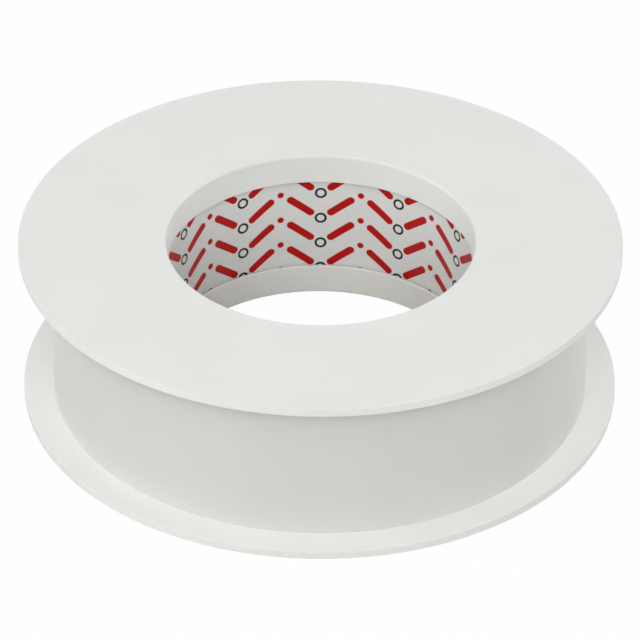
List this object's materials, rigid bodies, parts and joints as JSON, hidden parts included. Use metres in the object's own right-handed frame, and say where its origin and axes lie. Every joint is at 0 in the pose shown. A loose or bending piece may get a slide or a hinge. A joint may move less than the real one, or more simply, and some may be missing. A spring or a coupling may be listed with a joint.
{
  "type": "roll of electrical tape",
  "caption": "Roll of white insulating tape wound on a printed paper core between thin plastic side discs that pull off, with a free tape end that peels away from the roll.",
  "frame": {"origin": "centre of the lower side disc's outer face, in the plane that the roll lies on", "axes": "+Z along the axis of the roll, from the lower disc to the upper disc; +Y towards the side of the roll where the tape end lies"},
  "size_m": [0.059, 0.059, 0.0172],
  "materials": {
    "side_disc": "smooth moulded white polystyrene, low sheen",
    "core_board": "raw grey core board",
    "printed_paper": "smooth white paper with a small repeated print in red and black",
    "tape": "satin white PVC film"
  },
  "bodies": {
    "lower_disc": {"lower_side_disc": "side_disc"},
    "roll": {"core_tube": "core_board", "printed_core_liner": "printed_paper", "tape_winding": "tape", "outer_turn": "tape"},
    "upper_disc": {"upper_side_disc": "side_disc"},
    "free_end": {"tape_end": "tape"}
  },
  "joints": [
    {"name": "lower_disc_pull", "type": "slide", "parent": "lower_disc", "child": "roll", "axis": [0, 0, 1], "range_m": [0, 0.012]},
    {"name": "upper_disc_pull", "type": "slide", "parent": "roll", "child": "upper_disc", "axis": [0, 0, 1], "range_m": [0, 0.012]},
    {"name": "tape_end_peel", "type": "hinge", "parent": "roll", "child": "free_end", "pos_m": [0.00182, 0.02695, 0.0086], "axis": [0, 0, -1], "range_deg": [0, 150]}
  ]
}
